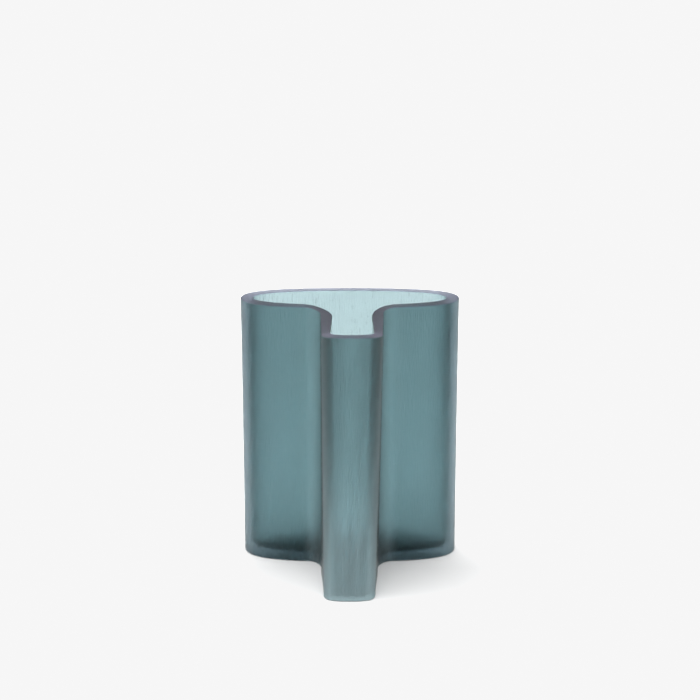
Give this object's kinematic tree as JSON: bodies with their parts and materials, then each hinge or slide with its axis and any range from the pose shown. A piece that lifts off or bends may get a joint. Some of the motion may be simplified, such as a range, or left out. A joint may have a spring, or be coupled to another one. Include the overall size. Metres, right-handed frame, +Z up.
{
  "type": "vase",
  "caption": "T-shaped blown glass vase: rounded bar behind, stem in front, thick cased walls, ground flat rim and foot.",
  "frame": {"origin": "middle of the footprint's bounding box, on the ground face the vase stands on", "axes": "+Z up, out of the vase's mouth; +Y towards the flat back of the bar; the stem points along -Y"},
  "size_m": [0.16, 0.118, 0.2],
  "materials": {
    "satin_smoke_glass": "satin outside with fine upright cuts, ground flat rim and foot",
    "polished_teal_glass": "fire polished inside"
  },
  "bodies": {
    "root": {"outer_casing": "satin_smoke_glass", "inner_lining": "polished_teal_glass"}
  },
  "joints": []
}
